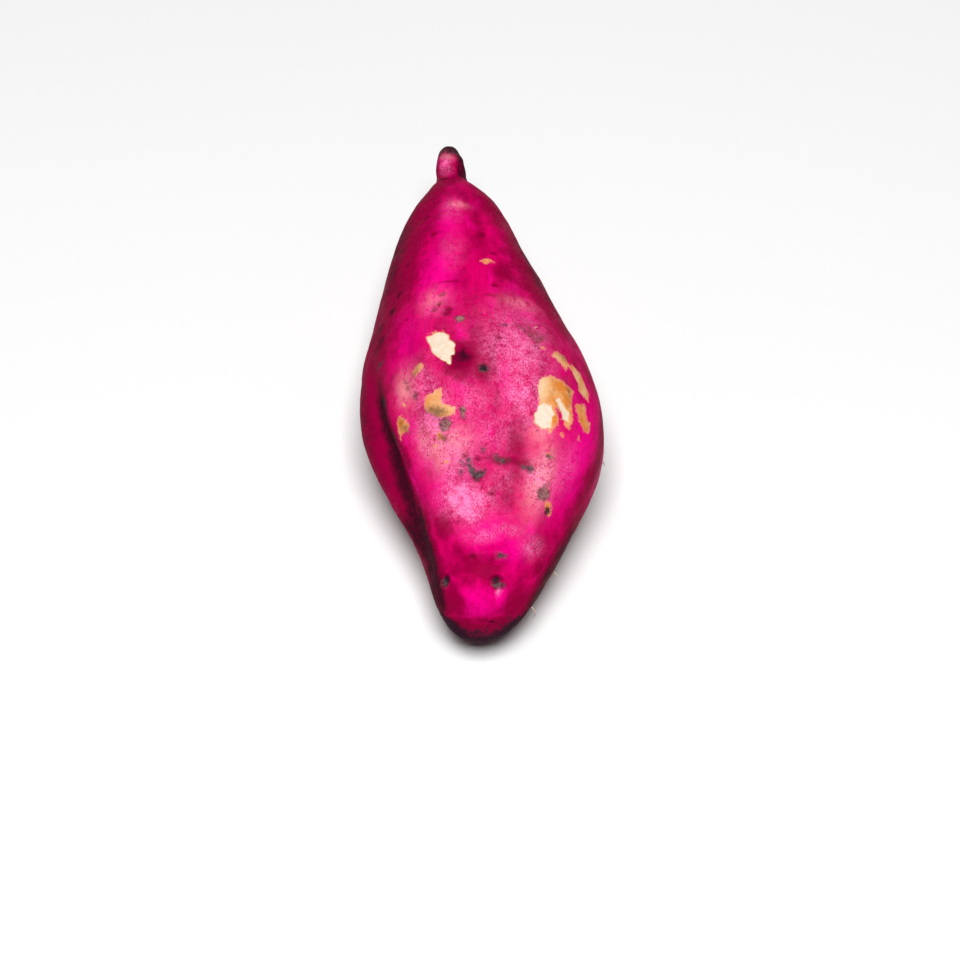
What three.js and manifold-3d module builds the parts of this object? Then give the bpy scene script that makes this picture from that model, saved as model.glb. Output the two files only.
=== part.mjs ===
// A sweet potato: one swollen root that lies on its side.
// Millimetres, +Z up. The long axis runs along Y: stem stub at +Y, root tip at -Y.
// The origin is on the surface that it lies on, under the middle of its box.

import * as THREE from "three";
import { mergeVertices } from "three/addons/utils/BufferGeometryUtils.js";
import Module from "manifold-3d";

// ---- Driving dimensions ----

// The swollen body, from the root tip to the foot of the stem stub.
const BODY_LENGTH = 151;
const BODY_WIDTH = 68;
const BODY_HEIGHT = 62;

// The stub of stem that the root hung from, with the crease round its foot.
const STUB_LENGTH = 11;
const STUB_DIAMETER = 9.6;
const STUB_CREASE_DEPTH = 0.25;

// The spot of the belly pressed flat where the root lies.
const REST_FLAT_DEPTH = 1.4;

// Folds (depth over 0) and swellings (under 0) that run along the body, between two shares of
// its length. Angles turn round the long axis from +X (0) over the top (90) to -X (180).
const FOLDS = {
  sideFold: { depth: 3.8, angle: 161, spread: 8, from: 0.06, to: 0.58 },
  sideSwelling: { depth: -1.6, angle: 182, spread: 15, from: 0.1, to: 0.75 },
  topFurrow: { depth: 1.3, angle: 86, spread: 17, from: 0.24, to: 0.68 },
  underFurrow: { depth: 1.6, angle: -62, spread: 20, from: 0.2, to: 0.85 },
};

// ---- Shape of the body, as shares of its length and of half its width ----

// Outline from the root tip: [share of the length, share of half the width].
const BODY_OUTLINE = [
  [0, 0],
  [0.008, 0.16],
  [0.035, 0.32],
  [0.1, 0.48],
  [0.2, 0.7],
  [0.31, 0.92],
  [0.42, 1],
  [0.54, 0.94],
  [0.66, 0.8],
  [0.78, 0.63],
  [0.89, 0.442],
  [0.955, 0.268],
  [0.985, 0.172],
];

// Centre line: [share of the length, share of half the width sideways, the same upwards, how
// tall the section is against the belly's].
const CENTRE_LINE = [
  [0, 0.08, -0.42, 1.1],
  [0.1, 0.15, -0.26, 1.14],
  [0.25, 0.18, -0.07, 1.02],
  [0.42, 0.11, 0, 1],
  [0.6, 0.02, -0.02, 1.04],
  [0.8, -0.1, 0.03, 1.12],
  [0.95, -0.135, 0.1, 1.1],
  [1, -0.17, 0.12, 1.1],
  [1.08, -0.2, 0.18, 1.1],
];

// Stub outline from its foot: [share of its length, share of its radius].
const STUB_OUTLINE = [
  [0.3, 0.98],
  [0.65, 0.9],
  [0.86, 0.68],
  [0.97, 0.32],
  [1, 0],
];

// ---- Fineness of the mesh ----

const ROWS_PER_STATION = 3;
const SEGMENTS = 48;
const WELD = 0.001;

const HALF_WIDTH = BODY_WIDTH / 2;
const STUB_RADIUS = STUB_DIAMETER / 2;
const FLATNESS = BODY_HEIGHT / BODY_WIDTH;

// The whole outline in millimetres: the body's stations, the crease, then the stub's column.
function outline() {
  const body = BODY_OUTLINE.map(
    ([along, across]) => new THREE.Vector2(across * HALF_WIDTH, along * BODY_LENGTH),
  );
  const crease = new THREE.Vector2(STUB_RADIUS - STUB_CREASE_DEPTH, BODY_LENGTH);
  const stub = STUB_OUTLINE.map(
    ([along, across]) =>
      new THREE.Vector2(across * STUB_RADIUS, BODY_LENGTH + along * STUB_LENGTH),
  );
  return [...body, crease, ...stub];
}

// The body turned straight about the long axis, with its vertices shared.
function turnedBody() {
  const stations = outline();
  const rows = (stations.length - 1) * ROWS_PER_STATION;
  const profile = new THREE.SplineCurve(stations).getPoints(rows);
  return withSharedVertices(new THREE.LatheGeometry(profile, SEGMENTS));
}

function withSharedVertices(geometry) {
  geometry.deleteAttribute("normal");
  geometry.deleteAttribute("uv");
  return mergeVertices(geometry, WELD);
}

// Gives the centre line's two shifts and the section's tallness at a share of the length.
function centreLine() {
  const along = CENTRE_LINE.map((station) => station[0]);
  const values = CENTRE_LINE.flatMap((station) => station.slice(1));
  return new THREE.CubicInterpolant(along, values, 3);
}

// How deep the folds cut at a share of the length and an angle round the body.
function foldDepth(along, angle) {
  let depth = 0;
  for (const fold of Object.values(FOLDS)) {
    const share = THREE.MathUtils.clamp((along - fold.from) / (fold.to - fold.from), 0, 1);
    const away = THREE.MathUtils.euclideanModulo(angle - fold.angle + 180, 360) - 180;
    const swell = Math.sin(Math.PI * share) ** 2;
    depth += fold.depth * swell * Math.exp(-((away / fold.spread) ** 2));
  }
  return depth;
}

// Bends, flattens and folds the straight turned body into the grown root.
function grow(geometry) {
  const position = geometry.getAttribute("position");
  const line = centreLine();
  for (let i = 0; i < position.count; i += 1) {
    const along = position.getY(i) / BODY_LENGTH;
    const across = Math.hypot(position.getX(i), position.getZ(i));
    const angle = Math.atan2(position.getZ(i), position.getX(i));
    const radius = across - foldDepth(along, THREE.MathUtils.radToDeg(angle));
    const [side, up, tall] = line.evaluate(along);
    position.setX(i, radius * Math.cos(angle) + side * HALF_WIDTH);
    position.setZ(i, radius * Math.sin(angle) * tall * FLATNESS + up * HALF_WIDTH);
  }
  return geometry;
}

// ---- Cutting with manifold-3d ----

const wasm = await Module();
wasm.setup();

function toSolid(geometry) {
  return new wasm.Manifold(
    new wasm.Mesh({
      numProp: 3,
      vertProperties: new Float32Array(geometry.getAttribute("position").array),
      triVerts: new Uint32Array(geometry.getIndex().array),
    }),
  );
}

function toGeometry(solid) {
  const mesh = solid.getMesh();
  const geometry = new THREE.BufferGeometry();
  geometry.setAttribute("position", new THREE.BufferAttribute(mesh.vertProperties, 3));
  geometry.setIndex(new THREE.BufferAttribute(mesh.triVerts, 1));
  geometry.computeVertexNormals();
  return geometry;
}

// Cuts the rest flat off the underside, which puts the surface that it lies on at the cut.
function cutRestFlat(geometry) {
  geometry.computeBoundingBox();
  const size = geometry.boundingBox.getSize(new THREE.Vector3());
  const slab = new THREE.BoxGeometry(2 * size.x, 2 * size.y, 2 * REST_FLAT_DEPTH);
  const under = geometry.boundingBox.getCenter(new THREE.Vector3());
  under.z = geometry.boundingBox.min.z;
  slab.translate(under.x, under.y, under.z);
  return toGeometry(toSolid(geometry).subtract(toSolid(withSharedVertices(slab))));
}

// Puts the middle of the box's underside at the origin.
function standOnOrigin(geometry) {
  geometry.computeBoundingBox();
  const middle = geometry.boundingBox.getCenter(new THREE.Vector3());
  geometry.translate(-middle.x, -middle.y, -geometry.boundingBox.min.z);
  return geometry;
}

function makeSweetPotato() {
  const skin = new THREE.MeshStandardMaterial({
    color: 0xc81260,
    roughness: 0.55,
    metalness: 0,
  });
  const geometry = standOnOrigin(cutRestFlat(grow(turnedBody())));
  const mesh = new THREE.Mesh(geometry, skin);
  mesh.name = "sweet_potato";
  return mesh;
}

const root = new THREE.Group();
root.add(makeSweetPotato());

export default root;
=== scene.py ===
"""A magenta-skinned sweet potato on a pale floor, seen from above its root tip.

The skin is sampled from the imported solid, then gets its furrows, eyes, scrapes and scabs.
Lengths are in millimetres for the root and its materials, and in metres for the stage.
"""

import itertools
import math

import bpy
import numpy as np
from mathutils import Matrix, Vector
from mathutils.bvhtree import BVHTree


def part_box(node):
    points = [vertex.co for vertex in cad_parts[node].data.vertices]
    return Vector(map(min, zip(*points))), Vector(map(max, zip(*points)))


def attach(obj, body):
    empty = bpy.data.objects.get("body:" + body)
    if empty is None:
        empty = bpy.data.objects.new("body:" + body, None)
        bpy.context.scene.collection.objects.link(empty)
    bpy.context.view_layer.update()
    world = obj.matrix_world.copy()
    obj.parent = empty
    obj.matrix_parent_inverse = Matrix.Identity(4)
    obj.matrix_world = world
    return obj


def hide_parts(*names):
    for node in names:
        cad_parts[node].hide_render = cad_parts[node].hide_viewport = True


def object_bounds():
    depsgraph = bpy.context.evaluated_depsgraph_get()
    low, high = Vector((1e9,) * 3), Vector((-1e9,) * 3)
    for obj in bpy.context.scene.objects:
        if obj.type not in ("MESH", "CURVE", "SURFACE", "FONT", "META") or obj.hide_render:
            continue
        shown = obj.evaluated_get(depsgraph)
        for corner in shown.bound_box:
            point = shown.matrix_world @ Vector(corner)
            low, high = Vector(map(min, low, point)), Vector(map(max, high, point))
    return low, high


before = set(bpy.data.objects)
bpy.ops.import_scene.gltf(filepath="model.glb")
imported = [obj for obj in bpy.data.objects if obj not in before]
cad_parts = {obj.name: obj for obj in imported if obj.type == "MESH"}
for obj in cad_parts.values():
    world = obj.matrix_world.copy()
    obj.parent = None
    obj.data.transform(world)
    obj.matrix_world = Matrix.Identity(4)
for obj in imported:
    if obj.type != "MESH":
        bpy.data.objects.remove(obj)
CAD_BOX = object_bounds()

MM = 0.001
NODE = "sweet_potato"
LOW, HIGH = (np.array(corner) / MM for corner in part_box(NODE))
LENGTH = HIGH[1] - LOW[1]

# The stub of stem at the +Y end: its length, and where its middle is across the root.
STUB_LENGTH = 11.0
STUB_MIDDLE = -9.2

# Fineness of the skin: rows from the root tip to the stub's end, columns round the root.
ROWS = 350
COLUMNS = 270

# The rows fan out from a point inside each end, and are flat rings between the two points.
TIP_FAN = 15.0
STUB_FAN = 4.0

# The share of the whole way that the first and the last row keep from the ends.
POLE_GAP = 0.002

# The centre line is found by rays round the section, at stations so far apart.
CENTRE_STEP = 2.0
CENTRE_RAYS = 24

# The solid's facets are smoothed away over so many rows and columns: gently on the stub and
# strongly elsewhere. The change takes FOOT_FADE, and ends FOOT_GAP before the stub's foot.
GENTLE = (1.5, 2.5)
STRONG = (5.0, 3.5)
FOOT_GAP = 12
FOOT_FADE = 10


# ---- Sampling the solid ----


def solid_tree(node):
    """The CAD solid in millimetres, ready for rays."""
    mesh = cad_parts[node].data
    corners = [vertex.co / MM for vertex in mesh.vertices]
    return BVHTree.FromPolygons(corners, [tuple(face.vertices) for face in mesh.polygons])


def ring_direction(angle, lean):
    """Unit vector at an angle round the root, leaning from the ring's plane towards the stub."""
    return Vector((
        math.cos(angle) * math.cos(lean),
        math.sin(lean),
        math.sin(angle) * math.cos(lean),
    ))


def section_centre(tree, along, start):
    """Middle of the root's section at a distance from the root tip, settled in three goes."""
    centre = Vector((start.x, LOW[1] + along, start.z))
    angles = np.linspace(0, math.tau, CENTRE_RAYS, endpoint=False)
    for _ in range(3):
        hits = [tree.ray_cast(centre, ring_direction(angle, 0))[0] for angle in angles]
        centre = sum(hits, Vector()) / len(hits)
    return centre


def centre_line(tree):
    """Distances from the root tip, and the centre's sideways and upward place at each."""
    middle = Vector((0, 0, HIGH[2] / 2))
    stemward = np.arange(LENGTH / 2, LENGTH - STUB_FAN + 1, CENTRE_STEP)
    tipward = np.arange(LENGTH / 2, TIP_FAN - 1, -CENTRE_STEP)
    line = {}
    for distances in (stemward, tipward):
        centre = middle
        for along in distances:
            centre = section_centre(tree, along, centre)
            line[along] = (centre.x, centre.z)
    alongs = np.array(sorted(line))
    return alongs, smooth_rows(np.array([line[along] for along in alongs]), 2.0)


def bell_weights(spread):
    """Steps to both sides of 0, and the Gaussian weight of each."""
    reach = int(3 * spread) + 1
    steps = np.arange(-reach, reach + 1)
    weights = np.exp(-0.5 * (steps / spread) ** 2)
    return steps, weights / weights.sum()


def smooth_rows(values, spread, beyond=None):
    """Gaussian smoothing of a table down its rows, with its end rows held or a table beyond."""
    steps, weights = bell_weights(spread)
    reach = steps[-1]
    if beyond is None:
        padded = np.pad(values, ((reach, reach), (0, 0)), mode="edge")
    else:
        padded = np.vstack([beyond[-reach:], values, beyond[:reach]])
    rows = len(values)
    return sum(weight * padded[first : first + rows] for first, weight in enumerate(weights))


def smooth_round(values, spread):
    """Gaussian smoothing of a table round its columns, which join up."""
    steps, weights = bell_weights(spread)
    return sum(weight * np.roll(values, step, axis=1) for step, weight in zip(steps, weights))


def smooth_skin(reach, spread_rows, spread_columns):
    """Smoothing down the rows, over both poles to the opposite columns, and round the root."""
    opposite = np.roll(reach, COLUMNS // 2, axis=1)[::-1]
    return smooth_round(smooth_rows(reach, spread_rows, opposite), spread_columns)


def row_places():
    """For each row: its centre's distance from the root tip, and its lean towards the stub."""
    tip_arc = TIP_FAN * math.pi / 2
    stub_arc = STUB_FAN * math.pi / 2
    barrel = LENGTH - TIP_FAN - STUB_FAN
    places = []
    for run in np.linspace(POLE_GAP, 1 - POLE_GAP, ROWS) * (tip_arc + barrel + stub_arc):
        if run < tip_arc:
            places.append((TIP_FAN, run / TIP_FAN - math.pi / 2))
        elif run < tip_arc + barrel:
            places.append((TIP_FAN + run - tip_arc, 0.0))
        else:
            places.append((LENGTH - STUB_FAN, (run - tip_arc - barrel) / STUB_FAN))
    return places


def sample_skin(tree):
    """Points on the solid in rows and columns, and each column's angle round the root."""
    places = row_places()
    inside, line = centre_line(tree)
    angles = np.linspace(-math.pi / 2, 1.5 * math.pi, COLUMNS, endpoint=False)
    centres = np.array([
        (np.interp(along, inside, line[:, 0]), LOW[1] + along, np.interp(along, inside, line[:, 1]))
        for along, _ in places
    ])
    directions = np.array([[ring_direction(angle, lean) for angle in angles] for _, lean in places])
    reach = np.array([
        [tree.ray_cast(Vector(centre), Vector(direction))[3] for direction in row]
        for centre, row in zip(centres, directions)
    ])
    before_foot = np.array([LENGTH - STUB_LENGTH - FOOT_GAP - along for along, _ in places])
    share = np.clip(before_foot / FOOT_FADE, 0, 1)[:, None]
    reach = smooth_skin(reach, *GENTLE) * (1 - share) + smooth_skin(reach, *STRONG) * share
    return centres[:, None, :] + directions * reach[:, :, None], np.degrees(angles)


# ---- Random textures in space ----

# How many random values a texture has each way before it repeats.
LATTICE = 32


def lattice_noise(points, size, seed):
    """Smooth random values between -1 and 1 that change over about size mm (one or three)."""
    table = np.random.default_rng(seed).uniform(-1, 1, (LATTICE, LATTICE, LATTICE))
    place = points / np.asarray(size, float) + 0.37 * seed
    corner = np.floor(place).astype(int)
    part = place - corner
    part = part * part * (3 - 2 * part)
    total = np.zeros(points.shape[:-1])
    for step in itertools.product((0, 1), repeat=3):
        weight = np.prod(np.where(step, part, 1 - part), axis=-1)
        i, j, k = np.moveaxis((corner + step) % LATTICE, -1, 0)
        total += weight * table[i, j, k]
    return total


def smooth_step(value, low, high):
    """0 up to low, 1 from high on and an S between them; low may be the greater of the two."""
    share = np.clip((value - low) / (high - low), 0, 1)
    return share * share * (3 - 2 * share)


# ---- The skin and its marks ----

# Patches have an edge, and are kept as the distance inside it in mm. Tints are soft, and are kept
# as a strength from 0 up.
PATCHES = ("flesh", "cork", "scab", "soil", "olive")
# Some tints also carry painted light: the dust tint painted sheen, the bright tint painted
# highlights, and the deep and pit tints painted shade.
TINTS = ("bloom_and_sheen", "salmon", "hot_and_highlight", "deep", "pale", "pit", "husk")

# The distance in mm that stands for anywhere well outside a patch.
FAR_OUTSIDE = -4.0


class Skin:
    """The root's surface: points in rows and columns, how far each rises, and its marks.

    A place on it is a share of the root's length from its tip, in hundredths, and an angle
    round it in degrees: 0 at +X, 90 on top, 180 at -X.
    """

    def __init__(self, points, angles):
        self.points = points
        self.along = (points[:, :, 1] - LOW[1]) / LENGTH * 100
        self.angle = np.broadcast_to(angles, points.shape[:2])
        self.normals = self.surface_normals(points)
        self.girth = np.linalg.norm(np.diff(points, axis=1), axis=-1).sum(axis=1)[:, None]
        self.rise = np.zeros(points.shape[:2])
        # Uneven shifts in mm, to the right and stemward, which tear the edges of the marks.
        self.tear = [
            0.3 * lattice_noise(points, 2.6, seed) + 0.35 * lattice_noise(points, 1.0, seed + 2)
            for seed in (11, 12)
        ]
        self.patches = {name: np.full(self.rise.shape, FAR_OUTSIDE) for name in PATCHES}
        self.tints = {name: np.zeros(self.rise.shape) for name in TINTS}

    @staticmethod
    def surface_normals(points):
        stemward = np.gradient(points, axis=0)
        around = np.roll(points, -1, axis=1) - np.roll(points, 1, axis=1)
        normals = np.cross(stemward, around)
        return normals / np.linalg.norm(normals, axis=-1, keepdims=True)

    def round_from(self, angle):
        """How far round the skin every point is from an angle, in mm."""
        turn = (self.angle - angle + 180) % 360 - 180
        return turn / 360 * self.girth

    def round_from_line(self, stations):
        """How far round the skin every point is from a line through places on it, in mm."""
        alongs, angles = zip(*stations)
        return self.round_from(np.interp(self.along, alongs, angles))

    def spot(self, along, angle):
        """The row and column of the point nearest a place."""
        miss = ((self.along - along) / 100 * LENGTH) ** 2 + self.round_from(angle) ** 2
        return np.unravel_index(np.argmin(miss), miss.shape)

    def nearby(self, along, angle, lean=0.0):
        """Every point's place in mm to the right of, and stemward from, a place on the skin."""
        spot = self.spot(along, angle)
        normal = self.normals[spot]
        stemward = np.array((0, 1, 0)) - normal[1] * normal
        stemward /= np.linalg.norm(stemward)
        right = np.cross(stemward, normal)
        away = self.points - self.points[spot]
        x, y = away @ right, away @ stemward
        bent = np.linalg.norm(away, axis=-1) / np.maximum(np.hypot(x, y), 1e-6)
        cosine, sine = math.cos(math.radians(lean)), math.sin(math.radians(lean))
        return bent * (cosine * x + sine * y), bent * (cosine * y - sine * x)

    def torn(self, x, y):
        """The same places shifted unevenly, which tears the edge of what is drawn there."""
        return x + self.tear[0], y + self.tear[1]

    def patch(self, kind, along, angle, shape, depth=0.0, lean=0.0):
        """A patch shaped as an outline in mm, or as an oval's width and height."""
        x, y = self.torn(*self.nearby(along, angle, lean))
        inside = oval(x, y, *shape) if len(shape) == 2 else outline_distance(x, y, shape)
        self.patches[kind] = np.maximum(self.patches[kind], inside)
        self.rise -= depth * smooth_step(inside, -0.5, 0.5)

    def ovals(self, kind, places):
        """Small ovals of one kind of patch, each as its place, width and height."""
        for along, angle, width, height in places:
            self.patch(kind, along, angle, (width, height))

    def strengthen(self, kind, strength):
        """Brings a tint up to a strength at every point where it is weaker."""
        self.tints[kind] = np.maximum(self.tints[kind], strength)

    def tint(self, kind, along, angle, width, height, strength):
        """A soft oval of colour."""
        x, y = self.torn(*self.nearby(along, angle))
        self.strengthen(kind, strength * bell(x, y, width, height))

    def hollow(self, along, angle, width, height, depth):
        """A soft hollow, or a swelling where the depth is under 0."""
        self.rise -= depth * bell(*self.nearby(along, angle), width, height)

    def groove(self, stations, depth, width):
        """A groove through places on the skin, in mm wide and deep, fading at both ends."""
        start, end = stations[0][0], stations[-1][0]
        share = np.clip((self.along - start) / (end - start), 0, 1)
        fade = smooth_step(share, 0, 0.25) * smooth_step(1 - share, 0, 0.25)
        strength = fade * np.exp(-((2 * self.round_from_line(stations) / width) ** 2))
        self.rise -= depth * strength
        return strength

    def beyond(self, stations, soft):
        """1 past a line through places on the skin, where the angle is greater, and 0 before it."""
        return smooth_step(self.round_from_line(stations), -soft, soft)

    def eye(self, along, angle, width, depth):
        """A pit where a hair root grew, with a low rim: dark, the wider the darker, partly its own
        colour and partly painted shade in the hollow, and painted shade in the skin round it.
        """
        x, y = self.nearby(along, angle)
        away = 2 * np.hypot(x, 1.2 * y) / width
        rim = np.exp(-((2 * away - 3.4) ** 2))
        self.rise -= depth * (np.exp(-(away**2)) - 0.25 * rim)
        # Dark pit colour, partly painted shade in the hollow, and painted shade round it.
        self.strengthen("pit", min(0.4 * width, 1) * np.exp(-((1.05 * away) ** 2)))
        self.strengthen("deep", 0.6 * np.exp(-((0.5 * away) ** 2)))


def bell(x, y, width, height):
    """1 at the middle of an oval in mm, fading smoothly away across its edge."""
    return np.exp(-((2 * x / width) ** 2) - (2 * y / height) ** 2)


def oval(x, y, width, height):
    """Distance inside an oval, in mm: over 0 inside it and under 0 outside."""
    away = np.hypot(2 * x / width, 2 * y / height)
    return np.maximum((1 - away) * min(width, height) / 2, FAR_OUTSIDE)


def outline_distance(x, y, outline):
    """Distance inside a closed outline, in mm: over 0 inside it and under 0 outside."""
    nearest = np.full(x.shape, np.inf)
    inside = np.zeros(x.shape, bool)
    for (ax, ay), (bx, by) in zip(outline, outline[1:] + outline[:1]):
        dx, dy = bx - ax, by - ay
        share = np.clip(((x - ax) * dx + (y - ay) * dy) / (dx * dx + dy * dy), 0, 1)
        nearest = np.minimum(nearest, np.hypot(x - ax - share * dx, y - ay - share * dy))
        if dy:
            inside ^= ((ay > y) != (by > y)) & (x < dx * (y - ay) / dy + ax)
    return np.maximum(np.where(inside, nearest, -nearest), FAR_OUTSIDE)


def add_lumps(skin):
    """Swellings, ribs and fine unevenness all over the root."""
    points = skin.points
    skin.rise += 0.45 * lattice_noise(points, 21, 1) + 0.2 * lattice_noise(points, 9, 2)
    skin.rise += 0.22 * lattice_noise(points, (6, 45, 6), 3)
    skin.rise += 0.07 * lattice_noise(points, 3.4, 4) + 0.035 * lattice_noise(points, 1.5, 5)


def add_folds(skin):
    """The long fold down the left side with painted shade in it, the furrows of the neck and the
    dips of the snout.
    """
    side_fold = [(3, 176), (15, 168), (23, 166), (30, 161), (37, 158), (48, 154)]
    # Painted shade in the side fold.
    skin.strengthen("deep", skin.groove(side_fold, 0.9, 10))
    skin.groove([(50, 92), (60, 86), (72, 82), (88, 80)], 1.0, 10)
    skin.groove([(10, 92), (25, 84), (40, 88)], 0.9, 13)
    skin.hollow(41, 98, 9, 9, 0.8)
    skin.hollow(23, 75, 9, 14, 0.7)
    skin.hollow(7.2, 100, 34, 6, 1.0)
    skin.hollow(2.8, 120, 10, 12, -0.9)
    skin.hollow(3.4, 84, 4, 14, 0.6)
    skin.hollow(3.8, 64, 6, 10, -0.5)


def add_scrapes(skin):
    """Places where the skin is gone and the pale flesh shows."""
    skin.patch("flesh", 42.1, 111, [
        (-4, 4.4), (-2.2, 5.4), (1, 5.2), (2.5, 3.5), (2.5, 2), (4.3, 0.5), (4, -3), (3.2, -3.4),
        (3.6, -6.2), (3, -6.6), (0, -3.5), (-2.6, -1), (-3, 2),
    ], 0.25)
    skin.patch("flesh", 34.8, 53, [
        (-4.8, -6.6), (-3.6, -5), (-0.6, -4.6), (0.6, -7), (0, -9), (0.7, -11.6), (-2.6, -12.4),
        (-5, -11), (-5.2, -8.6),
    ], 0.2)
    skin.patch("flesh", 34.8, 53, [
        (0.3, -2.6), (1.6, -1.8), (5.6, -5), (5.8, -7.4), (3.1, -8), (2.6, -5.6),
    ], 0.2)


def add_left_cork(skin):
    """Tan and orange patches left of the middle where the skin healed, some stained olive."""
    skin.patch("cork", 31.8, 117, [
        (-0.5, 3.6), (1.4, 3.4), (0.9, -0.8), (4.5, -2.4), (4.2, -4.2), (1, -5), (-3, -3),
        (-4.6, -0.5), (-4.2, 1.6), (-2.5, 3),
    ], -0.1)
    skin.patch("olive", 30.4, 119, (5.6, 3.2), lean=-30)
    skin.patch("cork", 38.5, 125, [(2.2, 1.8), (0.6, -0.6), (-1, -2), (-1.8, 0.2), (0, 1.8)])
    skin.patch("olive", 38.5, 125.5, (1.1, 3.4), lean=-25)
    skin.patch("olive", 36.3, 133, (0.9, 2.8), lean=15)
    skin.patch("soil", 33.9, 129, (0.9, 1.6))
    skin.patch("cork", 30.2, 142, [
        (0, 3.2), (2.4, 1), (2.9, -1), (1.4, -2), (-0.6, -1.8), (-2.2, -3), (-1.8, 1.6),
    ])
    skin.patch("olive", 30.0, 141, (1.6, 3.4), lean=20)


def add_right_cork(skin):
    """The larger healed patches right of the middle, round the two scrapes there."""
    skin.patch("cork", 34.8, 53, [
        (-4.4, 2.8), (-1.4, 4.6), (3, 4.2), (6.6, 2.4), (6.2, -1), (7, -7), (6, -10), (4.6, -9),
        (3, -6), (1, -5), (2.2, -9), (0.6, -13), (-1, -12), (-4.2, -6), (-5.2, 0),
    ], -0.1)
    skin.patch("cork", 41.8, 46, [
        (-3, 0.6), (-1, 3.2), (2, 2.8), (3.4, -0.6), (1.2, -2.8), (0, -0.4),
    ])
    skin.patch("cork", 39.7, 33, [
        (-4.8, 3.6), (-2.6, 4.8), (0.6, 3.4), (1.8, 1), (3.6, -2.4), (3.4, -4.8), (1, -5),
        (-1.2, -4), (-1.6, -1), (-3.2, 1),
    ])
    skin.patch("cork", 32.4, 34, [
        (-3.2, 2.8), (0.8, 5), (1.6, 1.4), (4, 0.4), (4, -2.4), (2, -3.8), (-0.6, -2), (-2.4, 0.4),
    ])
    skin.patch("olive", 43.0, 43, (2.0, 1.4))
    skin.patch("olive", 35.6, 44, (0.7, 3.0), lean=10)


def add_cork_flecks(skin):
    """Small healed nicks."""
    skin.ovals("cork", (
        (43.3, 55, 1.6, 0.9), (26.3, 121, 1.8, 2.6), (63.5, 77, 3.4, 2.4), (27.5, 47, 1.2, 1.0),
        (28.5, 36, 1.0, 1.4), (33.2, 137, 0.8, 2.2), (25.1, 125, 1.6, 0.8), (22.3, 119, 1.4, 0.9),
        (23.9, 55, 1.6, 0.7), (45.5, 113, 3.4, 0.8),
    ))


def add_scabs(skin):
    """Grey-brown crusts, the three-cornered mark of the snout and brown spots."""
    skin.patch("scab", 28.1, 115, [
        (-1.5, 1.4), (1.6, 1.4), (1.6, -0.6), (0.6, -2), (-0.8, -2.4), (-2.1, -1),
    ], -0.25)
    skin.patch("scab", 29.3, 105, (2.2, 3.8), -0.15)
    skin.patch("scab", 18.1, 53, (4.2, 3.8), -0.3)
    skin.patch("scab", 47.9, 99, (3.0, 2.6), -0.5)
    skin.patch("scab", 23.6, 54, (2.4, 0.8), -0.1)
    skin.patch("cork", 16.4, 45, [(-2.3, 1.9), (0.5, 1.7), (1.8, -0.8), (1.0, -2.1), (-0.9, -1.3)])
    skin.tint("pit", 16.3, 45, 3.0, 3.0, 1.0)
    skin.patch("olive", 19.2, 51, (1.8, 1.2), lean=-20)
    skin.patch("olive", 25.9, 119, (2.6, 2.0))
    for turn in (-35, -10, 20, 50):
        skin.patch("olive", 45.4 + turn / 60, 59 + turn / 12, (1.6, 6.0), lean=turn)


def add_eyes(skin):
    """Pits where hair roots grew, with soil in the larger ones, and dark dots."""
    skin.eye(37.5, 90, 2.5, 1.0)
    skin.patch("soil", 37.3, 90, (2.6, 3.0))
    skin.eye(5.4, 78, 2.6, 1.2)
    skin.patch("soil", 4.9, 76, (3.4, 1.6))
    skin.eye(6.7, 149, 2.8, 1.2)
    skin.patch("soil", 6.3, 153, (2.2, 2.4))
    skin.eye(8.3, 107, 1.6, 0.6)
    for along, angle in (
        (34.2, 129), (54.5, 107), (52.6, 110), (51.2, 113), (50.6, 105), (49.6, 106),
        (22.6, 108), (21.9, 100), (44.0, 80), (57.0, 75), (66.0, 70), (71.0, 112), (17.0, 90),
    ):
        skin.eye(along, angle, 1.3, 0.3)


def add_soil(skin):
    """Soil that sticks in the hollows, and olive smudges on the right flank of the snout."""
    skin.patch("soil", 20.5, 101, [
        (-2.6, 3.6), (-1.2, 3.2), (-0.8, 0.8), (0.5, -0.2), (3, -0.4), (2.2, -2), (0.4, -3.2),
        (-1.8, -2.4), (-2, 0.4),
    ], -0.15)
    skin.ovals("soil", (
        (23.3, 95, 1.2, 1.4), (21.7, 110, 1.6, 1.2), (20.6, 111, 1.2, 1.2), (21.1, 66, 3.2, 1.8),
        (21.6, 84, 3.0, 1.4), (22.4, 88, 1.2, 2.0), (37.2, 154, 2.4, 3.4), (30.0, 154, 2.0, 6.0),
        (8.7, 77, 2.6, 1.6), (44.5, 151, 3.4, 1.2), (47.0, 76, 1.8, 0.8),
    ))
    skin.ovals("olive", ((13.0, -2, 2.4, 5), (9.8, -4, 2.8, 4), (7.0, -9, 2.2, 4)))


def add_hidden_side(skin):
    """The same sorts of mark round the back and underneath, where nothing else shows."""
    chance = np.random.default_rng(7)
    for _ in range(16):
        along, angle = chance.uniform(12, 86), chance.uniform(-170, -10)
        kind = chance.choice(("cork", "cork", "olive", "scab", "soil"))
        width, height = chance.uniform(1.5, 5), chance.uniform(1.5, 6)
        skin.patch(kind, along, angle, (width, height), lean=chance.uniform(-60, 60))
    for _ in range(9):
        skin.eye(chance.uniform(8, 90), chance.uniform(-175, -5), chance.uniform(1.6, 3), 0.6)
    for _ in range(14):
        along, angle = chance.uniform(8, 92), chance.uniform(-175, 5)
        kind = chance.choice(("bloom_and_sheen", "salmon", "hot_and_highlight"))
        skin.tint(kind, along, angle, chance.uniform(6, 14), chance.uniform(8, 26), 0.7)
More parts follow.
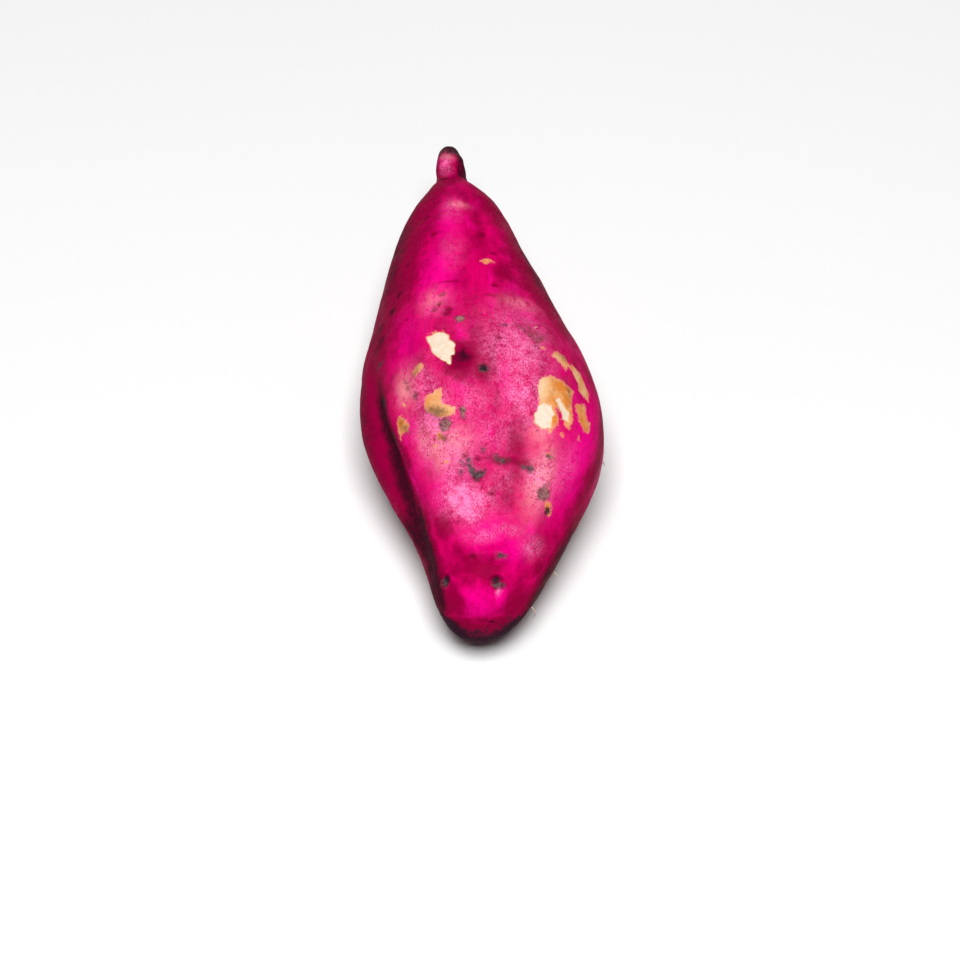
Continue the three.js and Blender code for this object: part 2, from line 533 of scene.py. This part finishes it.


# Soft ovals of colour, each as its place, its width and height in mm, and its strength: pink
# dust with painted sheen, rosy skin, pale cork, bright skin with painted highlights, and dark
# skin with painted shade.
BLOOM_AND_SHEEN_OVALS = (
    (16, 108, 14, 10, 1.0), (17.6, 115, 6, 6, 2.4), (15.0, 107, 7, 7, 2.1), (29, 120, 14, 24, 0.7),
    (42, 70, 20, 26, 0.75), (33, 70, 13, 22, 0.7), (20, 58, 10, 14, 0.55), (10.8, 46, 6, 5, 0.7),
    (11, 97, 8, 3, 0.6), (31, 100, 10, 14, 0.5), (22, 114, 12, 14, 0.7), (94.9, 112, 3.4, 7, 1.0),
    (66, 98, 6, 14, 0.2), (78, 96, 5, 10, 0.35), (12, 76, 8, 3, 0.6), (27, 88, 14, 18, 0.35),
    (52, 110, 8, 8, 0.3), (36, 124, 9, 9, 0.6), (19, 84, 8, 10, 0.35), (4.2, 71, 1.1, 2.6, 0.9),
    (22.9, 41, 7, 14, 0.35),
)
SALMON_OVALS = (
    (36, 134, 7, 10, 0.9), (25, 112, 10, 7, 0.9), (26, 130, 5, 9, 0.7), (20, 57, 7, 17, 1.1),
    (23.6, 55, 5, 7, 0.9), (24.5, 122, 7, 12, 0.8), (53.6, 113, 7, 8, 0.45), (27, 60, 7, 8, 0.7),
    (53, 64, 10, 5, 0.5), (96.8, 104, 4.5, 2.6, 0.6), (79.9, 89, 5, 3, 0.8),
)
PALE_OVALS = (
    (34.6, 61, 5, 11, 1.1), (36.8, 60, 4, 6, 0.6), (40.4, 36, 3, 7, 0.8), (30.6, 108, 4, 5, 0.7),
    (37.5, 32, 3, 8, 0.7), (42.4, 47, 4, 3, 0.5), (31.6, 116, 9, 9, 0.45),
)
HOT_AND_HIGHLIGHT_OVALS = (
    (60, 108, 9, 26, 1.0), (75, 100, 8, 26, 0.8), (2.6, 120, 9, 9, 1.2), (3.4, 66, 4, 9, 1.0),
    (9.5, 66, 9, 9, 1.0), (11.5, 90, 16, 9, 0.9), (26, 32, 10, 34, 1.0), (22, 42, 10, 24, 0.8),
    (18, 130, 6, 10, 0.6), (46, 128, 8, 20, 0.6), (50, 62, 10, 20, 0.5), (25, 100, 14, 12, 0.4),
    (94.6, 112, 5.4, 10, 1.3), (34, 104, 5, 8, 0.6),
)
DEEP_AND_SHADE_OVALS = (
    (24, 76, 8, 24, 0.42), (39.4, 101, 11, 13, 0.85), (40.2, 99, 3, 7, 1.1), (36.5, 92, 7, 8, 0.6),
    (46, 92, 8, 14, 0.35), (13.6, 130, 8, 9, 0.45), (25.7, 147, 4, 12, 0.45), (9.2, 27, 5, 9, 0.55),
    (97.0, 106, 6, 2.2, 0.45), (57.7, 104, 9, 1.0, 0.45), (54.3, 78, 7, 1.2, 0.4),
    (3.6, 20, 9, 12, 0.6), (4.0, 153, 9, 13, 0.5), (21.8, 78, 14, 3, 0.7), (72, 150, 26, 90, 0.8),
    (52, 156, 18, 46, 0.7), (38, 174, 18, 60, 0.68), (6.8, 104, 22, 9, 0.5), (66, 34, 22, 56, 0.8),
    (82, 44, 16, 40, 0.6), (86, 130, 14, 34, 0.6), (53, 34, 14, 20, 0.5), (92, 60, 10, 8, 0.5),
    (74, 74, 5, 30, 0.35), (9.8, 120, 6, 5, 0.4), (30, 12, 9, 60, 0.6), (12, 40, 5, 8, 0.35),
    (58.9, 138, 4, 6, 0.9), (55.5, 143, 5, 5, 0.9), (65.6, 131, 3, 4, 0.8), (76.8, 119, 4, 3, 0.8),
    (50, 150, 6, 9, 0.9), (71, 74, 3, 4, 0.8), (61, 66, 8, 10, 0.5),
)


def add_tints(skin):
    """Dusty areas with painted sheen, rosy and pale ones, bright ones with painted highlights, and
    dark ones with painted shade.
    """
    for kind, ovals in (
        ("bloom_and_sheen", BLOOM_AND_SHEEN_OVALS),
        ("salmon", SALMON_OVALS),
        ("pale", PALE_OVALS),
        ("hot_and_highlight", HOT_AND_HIGHLIGHT_OVALS),
        ("deep", DEEP_AND_SHADE_OVALS),
    ):
        for place_and_size in ovals:
            skin.tint(kind, *place_and_size)


def shade_underside(skin):
    """A little pink dust and painted sheen on what faces up, and painted shade: deeper colour the
    more the skin faces down, most under the tip.
    """
    down = -skin.normals[:, :, 2] + 0.25 * lattice_noise(skin.points, 8, 6)
    # Pink dust and painted sheen where the skin faces up.
    dust_and_sheen_on_top = 0.1 * smooth_step(down, -0.7, -0.95) * smooth_step(60 - skin.along, 0, 20)
    skin.strengthen("bloom_and_sheen", dust_and_sheen_on_top)
    # Painted shade, deeper the more the skin faces down and most under the tip.
    deeper = 0.3 * smooth_step(down, -0.4, 0.1) + 0.4 * smooth_step(down, 0.1, 0.8)
    skin.strengthen("deep", deeper)
    under_tip = smooth_step(down, -0.4, 0.05) * smooth_step(14 - skin.along, 0, 8)
    skin.strengthen("deep", 1.3 * under_tip)


def shade_tip_rim(skin):
    """Painted shade: an uneven dark rim round the lower side of the tip."""
    facing_down = -skin.normals[:, :, 2] + 0.12 * lattice_noise(skin.points, 2.2, 17)
    rim = smooth_step(facing_down, -0.33, -0.08) * smooth_step(5 - skin.along, 0, 3)
    # Painted shade, drawn in the pit colour.
    skin.strengthen("pit", 0.62 * rim)


# Lines along the snout's two flanks, below which painted shade darkens the skin for so many
# degrees.
LEFT_FLANK = [(0, 195), (2.9, 168), (6.5, 150), (11, 145), (16, 146), (21, 153), (28, 164)]
RIGHT_FLANK = [(0, -30), (1.7, -24), (4, 6), (7.5, 17), (11, 20), (15, 17), (20, 12), (28, 6)]
FLANK_BREADTH = 42


def shade_flanks(skin):
    """Painted shade on the snout's two flanks."""
    tipward = smooth_step(26 - skin.along, 0, 10) * smooth_step(skin.along, 0.8, 4.5)
    left_end = [(along, angle + FLANK_BREADTH) for along, angle in LEFT_FLANK]
    right_end = [(along, angle - FLANK_BREADTH) for along, angle in RIGHT_FLANK]
    left = tipward * skin.beyond(LEFT_FLANK, 3.6) * (1 - skin.beyond(left_end, 6.0))
    right = 0.85 * tipward * (1 - skin.beyond(RIGHT_FLANK, 4.0)) * skin.beyond(right_end, 8.0)
    skin.strengthen("deep", left)
    skin.strengthen("deep", right)


# Stations of the stub in hundredths of the root's length: the crease at its foot, the collar and
# the swelling above it, where the dry end starts and is full, and where the end is pushed out.
CREASE = 91.2
COLLAR = 93.2
SWELLING = 95
HUSK_START, HUSK_FULL = 96.6, 98.7
CAP_START, CAP_FULL = 97, 99


def ring_round(skin, station, spread, shift=0.0):
    """1 along a ring round the root, fading away to both sides, in hundredths of its length."""
    return np.exp(-(((skin.along - station - shift) / spread) ** 2))


def shape_stub(skin):
    """The crease at the stub's foot, the stub's swellings, and painted shade in the crease and on
    the stub's right flank.
    """
    across = skin.points[:, :, 0] - STUB_MIDDLE
    crease = ring_round(skin, CREASE, 0.5, 0.25 * lattice_noise(skin.points, 2.4, 15))
    skin.rise -= 0.25 * crease
    skin.rise += 0.3 * ring_round(skin, COLLAR, 0.8)
    skin.rise += 0.15 * ring_round(skin, SWELLING, 1.3)
    # Painted shade in the crease, and on the stub's right flank.
    skin.strengthen("deep", crease * (0.4 + 0.6 * smooth_step(-across, -1, 2)))
    skin.strengthen("deep", smooth_step(skin.along, 90, 93) * smooth_step(across, 0.8, 3.2))


def dry_stub_end(skin):
    """The stub's dry, rough end, which stands 1 mm further out where it faces stemward."""
    uneven = lattice_noise(skin.points, 2.4, 15)
    husk = smooth_step(skin.along + 0.7 * uneven, HUSK_START, HUSK_FULL)
    skin.strengthen("husk", husk)
    skin.rise += 0.35 * husk * lattice_noise(skin.points, 1.8, 16)
    facing = smooth_step(skin.normals[:, :, 1], 0.5, 0.95)
    skin.rise += smooth_step(skin.along, CAP_START, CAP_FULL) * facing


def skin_with_marks():
    skin = Skin(*sample_skin(solid_tree(NODE)))
    for add in (
        add_lumps, add_folds, add_scrapes, add_left_cork, add_right_cork, add_cork_flecks,
        add_scabs, add_eyes, add_soil, add_hidden_side, add_tints, shade_underside, shade_tip_rim,
        shade_flanks, shape_stub, dry_stub_end,
    ):
        add(skin)
    return skin


# ---- Hair roots ----

HAIR_RADIUS = 0.3
HAIR_SIDES = 6
HAIR_STEPS = 10

# How much thinner a hair root is at its point, and how deep in the skin it starts, in mm.
HAIR_TAPER = 0.8
HAIR_SUNK = 0.3

# A direction that no hair root follows, from which its sides are measured.
ASKEW = (0.3, 0.5, 0.8)
UP = np.array((0, 0, 1))

# Where each grows, how long it is in mm, and how far it curls back, droops and turns as shares
# of that.
HAIRS = (
    (6.0, -26, 5.4, 0.8, 1.0, 0.0),
    (12.2, -14, 2.4, 0.1, 0.1, 0.3),
    (47.5, 58, 2.0, 0.6, -0.1, 0.6),
    (33.0, -8, 2.4, 0.4, 0.4, 0.3),
    (62.0, 205, 2.6, 0.3, 0.4, -0.5),
    (27.0, 215, 3.0, 0.5, 0.5, 0.4),
    (44.0, 236, 3.4, 0.6, 0.1, 0.6),
    (74.0, -20, 2.4, 0.4, 0.5, -0.3),
    (88.0, 190, 2.0, 0.2, 0.3, 0.4),
    (80.0, -64, 2.6, 0.5, 0.1, 0.5),
)


def hair_path(skin, along, angle, length, curl, droop, turn):
    """A curve that leaves the skin square, then curls back, droops and turns."""
    spot = skin.spot(along, angle)
    out = skin.normals[spot]
    side = np.cross(out, UP)
    share = np.linspace(0, 1, HAIR_STEPS)[:, None]
    reach = length * (share - curl * share**2) + skin.rise[spot] - HAIR_SUNK
    bend = length * share**2
    return skin.points[spot] + reach * out - droop * bend * UP + turn * bend * side


def hair_rings(path):
    """The corners of a thin tube along a path, ring after ring."""
    corners = []
    for step, (place, ahead) in enumerate(zip(path, np.gradient(path, axis=0))):
        across = np.cross(ahead, ASKEW)
        across /= np.linalg.norm(across)
        over = np.cross(across, ahead / np.linalg.norm(ahead))
        radius = HAIR_RADIUS * (1 - HAIR_TAPER * step / HAIR_STEPS)
        for turn in np.linspace(0, math.tau, HAIR_SIDES, endpoint=False):
            corners.append(place + radius * (math.cos(turn) * across + math.sin(turn) * over))
    return corners


def hair_faces(first):
    """The faces of a tube whose corners start at a number, with both its ends closed."""
    faces = []
    for step, side in itertools.product(range(HAIR_STEPS - 1), range(HAIR_SIDES)):
        here = first + step * HAIR_SIDES
        beside = (side + 1) % HAIR_SIDES
        above = here + HAIR_SIDES
        faces.append((here + side, here + beside, above + beside, above + side))
    end = first + (HAIR_STEPS - 1) * HAIR_SIDES
    faces.append(tuple(range(end, end + HAIR_SIDES)))
    faces.append(tuple(range(first + HAIR_SIDES - 1, first - 1, -1)))
    return faces


def hair_mesh(skin):
    """All the hair roots in one mesh."""
    vertices, faces = [], []
    for hair in HAIRS:
        faces += hair_faces(len(vertices))
        vertices += hair_rings(hair_path(skin, *hair))
    mesh = bpy.data.meshes.new("hair_roots")
    mesh.from_pydata((np.array(vertices) * MM).tolist(), [], faces)
    mesh.shade_smooth()
    return mesh


# ---- Making the meshes ----

# The share of the UV square that stays free along its edges.
UV_MARGIN = 0.01


def skin_mesh(skin):
    """A closed mesh of the skin, with a pole at each end and an unrolled UV map."""
    points = skin.points + skin.normals * skin.rise[:, :, None]
    points[:, :, 2] = np.maximum(points[:, :, 2], 0)
    vertices = np.vstack([points.reshape(-1, 3), points[0].mean(axis=0), points[-1].mean(axis=0)])
    row, column = np.meshgrid(np.arange(ROWS - 1), np.arange(COLUMNS), indexing="ij")
    here = (row * COLUMNS + column).ravel()
    beside = (row * COLUMNS + (column + 1) % COLUMNS).ravel()
    faces = np.stack([here, here + COLUMNS, beside + COLUMNS, beside], axis=1).tolist()
    first, last = ROWS * COLUMNS, ROWS * COLUMNS + 1
    top = (ROWS - 1) * COLUMNS
    for k in range(COLUMNS):
        faces.append([first, k, (k + 1) % COLUMNS])
        faces.append([last, top + (k + 1) % COLUMNS, top + k])
    mesh = bpy.data.meshes.new("skin")
    mesh.from_pydata((vertices * MM).tolist(), [], faces)
    unroll(mesh, row.ravel(), column.ravel())
    for name, values in {**skin.patches, **skin.tints}.items():
        attribute = mesh.attributes.new(name, "FLOAT", "POINT")
        ends = [values[0].mean(), values[-1].mean()]
        attribute.data.foreach_set("value", np.append(values.ravel(), ends).astype(np.float32))
    mesh.shade_smooth()
    mesh.update()
    return mesh


def unroll(mesh, row, column):
    """Lays the rows and columns out flat in one UV island."""
    u, v = column / COLUMNS, (row + 1) / (ROWS + 1)
    du, dv = 1 / COLUMNS, 1 / (ROWS + 1)
    quads = np.stack([u, v, u, v + dv, u + du, v + dv, u + du, v], axis=1).reshape(-1, 2)
    caps = []
    for k in range(COLUMNS):
        left, right = k * du, (k + 1) * du
        caps += [((left + right) / 2, 0), (left, dv), (right, dv)]
        caps += [((left + right) / 2, 1), (right, 1 - dv), (left, 1 - dv)]
    layer = mesh.uv_layers.new(name="OFBake")
    places = UV_MARGIN + (1 - 2 * UV_MARGIN) * np.vstack([quads, caps])
    layer.data.foreach_set("uv", places.astype(np.float32).ravel())


def add_object(name, mesh, material):
    piece = bpy.data.objects.new(name, mesh)
    bpy.context.scene.collection.objects.link(piece)
    mesh.materials.append(material)
    return piece


# ---- Materials ----


class Shader:
    """A node material with short calls for the nodes that it uses."""

    def __init__(self, name):
        self.material = bpy.data.materials.new(name)
        self.material.use_nodes = True
        self.nodes = self.material.node_tree.nodes
        self.links = self.material.node_tree.links
        self.surface = self.nodes["Principled BSDF"]

    def wire(self, value, socket):
        """Gives a socket another socket's value, a colour or a number."""
        if isinstance(value, bpy.types.NodeSocket):
            self.links.new(value, socket)
        elif isinstance(value, tuple):
            socket.default_value = (*value, 1)
        else:
            socket.default_value = value

    def set_surface(self, name, value):
        self.wire(value, self.surface.inputs[name])

    def place(self, size):
        """Object coordinates counted in grains of size mm (one or three)."""
        coordinates = self.nodes.new("ShaderNodeTexCoord").outputs["Object"]
        scale = self.nodes.new("ShaderNodeVectorMath")
        scale.operation = "DIVIDE"
        self.wire(coordinates, scale.inputs[0])
        size = (size, size, size) if np.isscalar(size) else size
        scale.inputs[1].default_value = [s * MM for s in size]
        return scale.outputs[0]

    def noise(self, size, detail=3.0, roughness=0.55, shift=0.0):
        """Random values from 0 to 1 with grains of about size mm (one or three)."""
        move = self.nodes.new("ShaderNodeVectorMath")
        self.wire(self.place(size), move.inputs[0])
        move.inputs[1].default_value = (shift, shift, shift)
        texture = self.nodes.new("ShaderNodeTexNoise")
        self.wire(move.outputs[0], texture.inputs["Vector"])
        texture.inputs["Scale"].default_value = 1.0
        texture.inputs["Detail"].default_value = detail
        texture.inputs["Roughness"].default_value = roughness
        return texture.outputs["Fac"]

    def attribute(self, name):
        node = self.nodes.new("ShaderNodeAttribute")
        node.attribute_name = name
        return node.outputs["Fac"]

    def math(self, operation, a, b):
        node = self.nodes.new("ShaderNodeMath")
        node.operation = operation
        self.wire(a, node.inputs[0])
        self.wire(b, node.inputs[1])
        return node.outputs[0]

    def add(self, a, b):
        return self.math("ADD", a, b)

    def times(self, a, b):
        return self.math("MULTIPLY", a, b)

    def least(self, a, b):
        return self.math("MINIMUM", a, b)

    def most(self, a, b):
        return self.math("MAXIMUM", a, b)

    def step(self, value, low, high, start=0.0, end=1.0):
        """start up to low, end from high on and an S between them; low may be the greater."""
        node = self.nodes.new("ShaderNodeMapRange")
        node.interpolation_type = "SMOOTHSTEP"
        self.wire(value, node.inputs["Value"])
        node.inputs["From Min"].default_value = low
        node.inputs["From Max"].default_value = high
        node.inputs["To Min"].default_value = start
        node.inputs["To Max"].default_value = end
        return node.outputs["Result"]

    def mix(self, share, a, b):
        """Colour a where the share is 0 and colour b where it is 1."""
        node = self.nodes.new("ShaderNodeMix")
        node.data_type = "RGBA"
        colour_a, colour_b = (socket for socket in node.inputs if socket.type == "RGBA")
        self.wire(share, node.inputs[0])
        self.wire(a, colour_a)
        self.wire(b, colour_b)
        return next(socket for socket in node.outputs if socket.type == "RGBA")

    def bump(self, height, distance, normal=None):
        """Bumps of a height from 0 to 1 and a real distance in mm, on top of other bumps."""
        node = self.nodes.new("ShaderNodeBump")
        node.inputs["Distance"].default_value = distance * MM
        self.wire(height, node.inputs["Height"])
        if normal is not None:
            self.wire(normal, node.inputs["Normal"])
        return node.outputs[0]


def linear(red, green, blue):
    """A screen colour from 0 to 255 as the linear colour that shaders take."""
    shares = (red / 255, green / 255, blue / 255)
    return tuple(c / 12.92 if c <= 0.04045 else ((c + 0.055) / 1.055) ** 2.4 for c in shares)


MAROON = linear(58, 8, 28)
CRIMSON = linear(140, 0, 54)
MAGENTA = linear(200, 0, 90)
HOT_PINK = linear(226, 0, 126)
DUST_AND_SHEEN_PINK = linear(242, 128, 182)
SALMON = linear(226, 130, 140)
OLIVE = linear(84, 56, 44)
ORANGE = linear(204, 118, 46)
TAN = linear(216, 166, 114)
LIGHT_TAN = linear(218, 180, 138)
PEACH = linear(216, 168, 118)
CREAM = linear(212, 190, 166)
PALE_CREAM = linear(218, 202, 186)
SCAB = linear(146, 104, 100)
SCAB_RIM = linear(76, 38, 50)
SOIL = linear(60, 76, 72)
DARK_SOIL = linear(32, 30, 36)
PIT = linear(40, 24, 40)
HUSK = linear(118, 78, 78)
DARK_HUSK = linear(58, 28, 38)
HAIR_BROWN = linear(150, 112, 92)
HAIR_CREAM = linear(226, 206, 182)
FLOOR_GREY = (0.70, 0.70, 0.70)
FLOOR_PALE_GREY = (0.73, 0.73, 0.73)


def streaked_skin(shader):
    """Magenta with crimson and bright streaks along the root, its bright areas with painted
    highlights, its dark areas with painted shade, and rosy ones.
    """
    crimson = shader.step(shader.noise((6, 22, 6), 5, 0.65), 0.26, 0.62)
    colour = shader.mix(crimson, CRIMSON, MAGENTA)
    bright = shader.step(shader.noise((6, 24, 6), 5, 0.6, 7.3), 0.5, 0.72, 0, 0.8)
    colour = shader.mix(bright, colour, HOT_PINK)
    # Bright skin and painted highlights.
    hot_and_highlight = shader.times(shader.attribute("hot_and_highlight"), shader.step(shader.noise(3, 4), 0.2, 0.45))
    colour = shader.mix(shader.least(hot_and_highlight, 1), colour, HOT_PINK)
    uneven = shader.step(shader.noise(4, 5, 0.65), 0.25, 0.75, -0.14, 0.14)
    # Dark skin and painted shade, crimson and then maroon.
    deep = shader.add(shader.attribute("deep"), uneven)
    colour = shader.mix(shader.step(deep, 0.05, 0.5), colour, CRIMSON)
    colour = shader.mix(shader.step(deep, 0.5, 1.0), colour, MAROON)
    thin = shader.step(shader.noise((0.6, 7, 0.6), 3, 0.6, 3.1), 0.5, 0.72, 0, 0.4)
    colour = shader.mix(thin, colour, CRIMSON)
    mottled = shader.step(shader.noise((1.6, 3, 1.6), 5, 0.7, 5.5), 0.3, 0.55)
    return shader.mix(shader.times(shader.attribute("salmon"), mottled), colour, SALMON)


def dusted_and_sheened(shader, colour, grain):
    """The colour under clouds of pink dust and painted sheen, with fine dark flecks where they are
    thin.
    """
    patchy = shader.step(shader.noise(7, 4, 0.6, 2.2), 0.3, 0.6, 0.7, 1.3)
    # Pink dust and painted sheen, as the dust tint gives them.
    dust = shader.times(shader.attribute("bloom_and_sheen"), patchy)
    broken = shader.step(shader.noise(2.6, 4, 0.7, 8.2), 0.25, 0.6)
    cloud = shader.times(shader.least(dust, 1), broken)
    cloud = shader.times(cloud, shader.step(shader.attribute("deep"), 0.75, 0.1))
    fine = shader.step(grain, 0.34, 0.62, 0.2, 1.0)
    grainy = shader.most(fine, shader.step(dust, 1.0, 1.6, 0, 0.8))
    colour = shader.mix(shader.times(cloud, grainy), colour, DUST_AND_SHEEN_PINK)
    dots = shader.step(shader.noise((0.5, 0.8, 0.5), 2, 0.8, 9.4), 0.49, 0.36)
    flecks = shader.times(dots, shader.step(dust, 0.05, 0.4))
    flecks = shader.times(flecks, shader.step(dust, 1.2, 0.6, 0.0, 0.65))
    return shader.mix(flecks, colour, CRIMSON)


def specked(shader, colour):
    """The colour with dark specks in some places."""
    specks = shader.step(shader.noise(0.9, 2, 0.5, 4.8), 0.66, 0.74)
    places = shader.step(shader.noise(9, 2, 0.5, 6.6), 0.45, 0.6)
    return shader.mix(shader.times(shader.times(specks, places), 0.7), colour, MAROON)


def inside(shader, kind, ragged, soft):
    """1 inside a kind of patch and 0 outside, and how deep inside its ragged edge, in mm."""
    uneven = shader.add(shader.noise(1.1, 5, 0.75), -0.5)
    edge = shader.add(shader.attribute(kind), shader.times(uneven, ragged))
    return shader.step(edge, -soft, soft), edge


def cork_colour(shader, edge):
    """Orange and tan, bruised in places, pale where its tint says so and rosy along its edge."""
    tan = shader.step(shader.noise(3.0, 5, 0.65, 9.1), 0.34, 0.74, 0, 0.8)
    colour = shader.mix(tan, ORANGE, TAN)
    bruised = shader.step(shader.noise(1.4, 5, 0.75, 4.4), 0.5, 0.76, 0, 0.8)
    colour = shader.mix(bruised, colour, shader.mix(0.5, ORANGE, OLIVE))
    colour = shader.mix(shader.attribute("pale"), colour, LIGHT_TAN)
    return shader.mix(shader.step(edge, 1.2, -0.2, 0, 0.4), colour, SALMON)


def flesh_colour(shader, edge):
    """Cream, with a peach edge."""
    pale = shader.step(shader.noise(1.4, 4, 0.6, 3.3), 0.35, 0.65)
    return shader.mix(shader.step(edge, -0.1, 0.5), PEACH, shader.mix(pale, CREAM, PALE_CREAM))


def crust_colour(shader, edge):
    """Grey-brown, mottled, with a dark broken rim."""
    broken = shader.add(edge, shader.times(shader.noise(1.2, 5, 0.75), 5))
    colour = shader.mix(shader.step(broken, 2.0, 3.2), SCAB_RIM, SCAB)
    mottled = shader.step(shader.noise(0.9, 5, 0.75, 7.7), 0.44, 0.58, 0, 0.7)
    return shader.mix(mottled, colour, SCAB_RIM)


def soil_colour(shader):
    return shader.mix(shader.step(shader.noise(0.9, 4, 0.7, 2.9), 0.4, 0.6), DARK_SOIL, SOIL)


def husk_colour(shader):
    return shader.mix(shader.step(shader.noise(1.4, 4, 0.7, 5.2), 0.45, 0.7), DARK_HUSK, HUSK)


def pit_share(shader):
    """How far the dark pit colour covers the skin, with an uneven edge: the pits, partly painted
    shade, and painted shade under the tip.
    """
    uneven = shader.step(shader.noise(0.7, 4, 0.7, 1.3), 0.3, 0.7, -0.2, 0.2)
    return shader.step(shader.add(shader.attribute("pit"), uneven), 0.3, 0.75, 0, 0.92)


def skin_material():
    """The skin with each kind of mark laid over it in turn: matt where it is broken or dirty."""
    shader = Shader("skin")
    grain = shader.noise((0.42, 0.7, 0.42), 2, 0.8, 1.7)
    colour = specked(shader, dusted_and_sheened(shader, streaked_skin(shader), grain))
    cork, cork_edge = inside(shader, "cork", 3.0, 0.3)
    colour = shader.mix(cork, colour, cork_colour(shader, cork_edge))
    olive, _ = inside(shader, "olive", 5.0, 1.2)
    colour = shader.mix(shader.times(olive, 0.75), colour, OLIVE)
    flesh, flesh_edge = inside(shader, "flesh", 1.6, 0.3)
    colour = shader.mix(flesh, colour, flesh_colour(shader, flesh_edge))
    scab, scab_edge = inside(shader, "scab", 3.4, 0.4)
    colour = shader.mix(shader.times(scab, 0.95), colour, crust_colour(shader, scab_edge))
    soil, _ = inside(shader, "soil", 3.0, 0.7)
    colour = shader.mix(shader.times(soil, 0.9), colour, soil_colour(shader))
    # Dark pits, partly painted shade, and the painted shade under the tip.
    colour = shader.mix(pit_share(shader), colour, PIT)
    colour = shader.mix(shader.attribute("husk"), colour, husk_colour(shader))
    shader.set_surface("Base Color", colour)
    sheen = shader.step(shader.noise(6, 3), 0.3, 0.7, 0.42, 0.56)
    broken = shader.most(shader.most(cork, scab), shader.most(flesh, soil))
    shader.set_surface("Roughness", shader.most(sheen, shader.times(broken, 0.8)))
    shader.set_surface("Specular IOR Level", 0.006)
    pimples = shader.times(shader.noise(1.6, 5, 0.7, 6.0), shader.step(flesh, 0, 1, 1, 0.35))
    shader.set_surface("Normal", shader.bump(pimples, 0.16, shader.bump(grain, 0.07)))
    return shader.material


def hair_material():
    shader = Shader("hair_root")
    shader.set_surface("Base Color", shader.mix(shader.noise(1.2, 4, 0.7), HAIR_BROWN, HAIR_CREAM))
    shader.set_surface("Roughness", 0.75)
    return shader.material


def floor_material():
    shader = Shader("floor")
    shader.set_surface("Base Color", shader.mix(shader.noise(400, 2), FLOOR_GREY, FLOOR_PALE_GREY))
    shader.set_surface("Roughness", 0.8)
    return shader.material


# ---- Stage ----

FLOOR_RADIUS = 1.4
FLOOR_SIDES = 180

# The softbox: its place, the side of its square in metres, and its power in watts.
KEY_PLACE = Vector((0.0, -0.42, 1.55))
KEY_SIZE = 0.7
KEY_POWER = 38

# How strongly the world lights the root, and how bright it is where the camera sees it.
GLOW_STRENGTH = 0.06
BACKDROP_STRENGTH = 0.75

# The photo's viewing angle in degrees above the floor, from the tip's side, and its framing: the
# distance and the aim in metres, the lens and the sensor in mm.
CAMERA_ELEVATION = 56.0
CAMERA_DISTANCE = 0.64
CAMERA_LENS = 85.0
CAMERA_SENSOR = 36.0
CAMERA_NEAR = 0.01
AIM = Vector((0.0, -0.038, CAD_BOX[1].z / 2))


def add_floor():
    turns = np.linspace(0, math.tau, FLOOR_SIDES, endpoint=False)
    rim = [(FLOOR_RADIUS * math.cos(turn), FLOOR_RADIUS * math.sin(turn), 0) for turn in turns]
    mesh = bpy.data.meshes.new("floor")
    mesh.from_pydata(rim, [], [range(FLOOR_SIDES)])
    add_object("floor", mesh, floor_material())


def add_key_light():
    """A square softbox that faces the middle of the root."""
    light = bpy.data.lights.new("key", "AREA")
    light.size = KEY_SIZE
    light.energy = KEY_POWER
    lamp = bpy.data.objects.new("key", light)
    lamp.location = KEY_PLACE
    middle = (CAD_BOX[0] + CAD_BOX[1]) / 2
    lamp.rotation_euler = (middle - lamp.location).to_track_quat("-Z", "Y").to_euler()
    bpy.context.scene.collection.objects.link(lamp)


def add_world():
    """Faint white light from all round, which the camera sees as a brighter backdrop."""
    world = bpy.data.worlds.new("studio")
    bpy.context.scene.world = world
    world.use_nodes = True
    nodes, links = world.node_tree.nodes, world.node_tree.links
    glow, backdrop = nodes["Background"], nodes.new("ShaderNodeBackground")
    for background, strength in ((glow, GLOW_STRENGTH), (backdrop, BACKDROP_STRENGTH)):
        background.inputs["Color"].default_value = (1, 1, 1, 1)
        background.inputs["Strength"].default_value = strength
    choice = nodes.new("ShaderNodeMixShader")
    links.new(nodes.new("ShaderNodeLightPath").outputs["Is Camera Ray"], choice.inputs[0])
    links.new(glow.outputs[0], choice.inputs[1])
    links.new(backdrop.outputs[0], choice.inputs[2])
    links.new(choice.outputs[0], nodes["World Output"].inputs["Surface"])


def add_camera():
    elevation = math.radians(CAMERA_ELEVATION)
    back = Vector((0, -math.cos(elevation), math.sin(elevation)))
    lens = bpy.data.cameras.new("camera")
    lens.lens = CAMERA_LENS
    lens.sensor_width = CAMERA_SENSOR
    lens.clip_start = CAMERA_NEAR
    camera = bpy.data.objects.new("camera", lens)
    camera.location = AIM + back * CAMERA_DISTANCE
    camera.rotation_euler = (-back).to_track_quat("-Z", "Y").to_euler()
    bpy.context.scene.collection.objects.link(camera)
    bpy.context.scene.camera = camera


skin = skin_with_marks()
potato = add_object("sweet_potato_skin", skin_mesh(skin), skin_material())
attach(potato, "root")
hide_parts(NODE)

hairs = add_object("hair_roots", hair_mesh(skin), hair_material())
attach(hairs, "root")

add_floor()
add_key_light()
add_world()
add_camera()
bpy.context.scene.view_settings.view_transform = "Standard"
